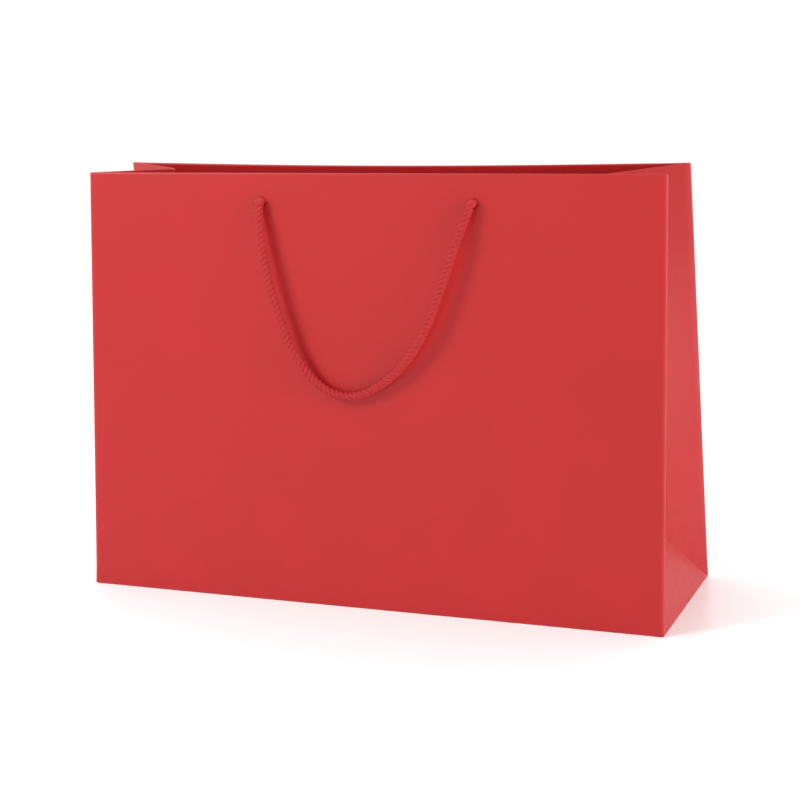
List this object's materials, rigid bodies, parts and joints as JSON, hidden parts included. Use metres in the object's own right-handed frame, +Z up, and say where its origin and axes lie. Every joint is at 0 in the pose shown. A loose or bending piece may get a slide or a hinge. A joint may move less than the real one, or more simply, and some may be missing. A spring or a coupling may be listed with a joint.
{
  "type": "gift bag",
  "caption": "Landscape laminated paper gift bag, open at the top, with inward-folding gussets, a turned-over reinforced hem, a loose base board and knotted twisted-rope handles.",
  "frame": {"origin": "middle of the underside, on the surface the bag stands on", "axes": "+X along the wide panels to the right, +Y from the front panel to the back panel, +Z up"},
  "size_m": [0.425, 0.128, 0.2985],
  "materials": {
    "laminated_paper": "matt laminated art paper, printed red outside and over the hem",
    "grey_card": "uncoated grey board",
    "white_board": "white-lined grey board",
    "twisted_rope": "three-strand twisted cord with a soft fibrous surface"
  },
  "bodies": {
    "base": {"base_board": "white_board", "front_base_flap": "laminated_paper", "rear_base_flap": "laminated_paper", "left_end_flap": "laminated_paper", "right_end_flap": "laminated_paper", "left_gusset_foot": "laminated_paper", "right_gusset_foot": "laminated_paper", "left_front_gusset_leaf": "laminated_paper", "left_front_gusset_hem": "laminated_paper", "left_rear_gusset_leaf": "laminated_paper", "left_rear_gusset_hem": "laminated_paper", "right_front_gusset_leaf": "laminated_paper", "right_front_gusset_hem": "laminated_paper", "right_rear_gusset_leaf": "laminated_paper", "right_rear_gusset_hem": "laminated_paper"},
    "front_wall": {"front_panel": "laminated_paper", "front_top_card": "grey_card", "front_hem": "laminated_paper", "front_glue_tab": "laminated_paper", "front_first_rope_knot": "twisted_rope", "front_second_rope_knot": "twisted_rope"},
    "back_wall": {"back_panel": "laminated_paper", "back_top_card": "grey_card", "back_hem": "laminated_paper", "back_glue_tab": "laminated_paper", "back_first_rope_knot": "twisted_rope", "back_second_rope_knot": "twisted_rope"},
    "front_handle": {"front_handle_rope": "twisted_rope"},
    "back_handle": {"back_handle_rope": "twisted_rope"}
  },
  "joints": [
    {"name": "front_wall_fold", "type": "hinge", "parent": "base", "child": "front_wall", "pos_m": [0, -0.064, 0.0002], "axis": [-1, 0, 0], "range_deg": [-6.1, 2.5], "deforming": ["left_front_gusset_leaf", "left_front_gusset_hem", "right_front_gusset_leaf", "right_front_gusset_hem"]},
    {"name": "back_wall_fold", "type": "hinge", "parent": "base", "child": "back_wall", "pos_m": [0, 0.064, 0.0002], "axis": [1, 0, 0], "range_deg": [-6.1, 2.5], "deforming": ["left_rear_gusset_leaf", "left_rear_gusset_hem", "right_rear_gusset_leaf", "right_rear_gusset_hem"]},
    {"name": "front_handle_swing", "type": "hinge", "parent": "front_wall", "child": "front_handle", "pos_m": [0, -0.03801, 0.27902], "axis": [-1, 0, 0], "range_deg": [0, 170]},
    {"name": "back_handle_swing", "type": "hinge", "parent": "back_wall", "child": "back_handle", "pos_m": [0, 0.03035, 0.2782], "axis": [1, 0, 0], "range_deg": [0, 170]}
  ]
}
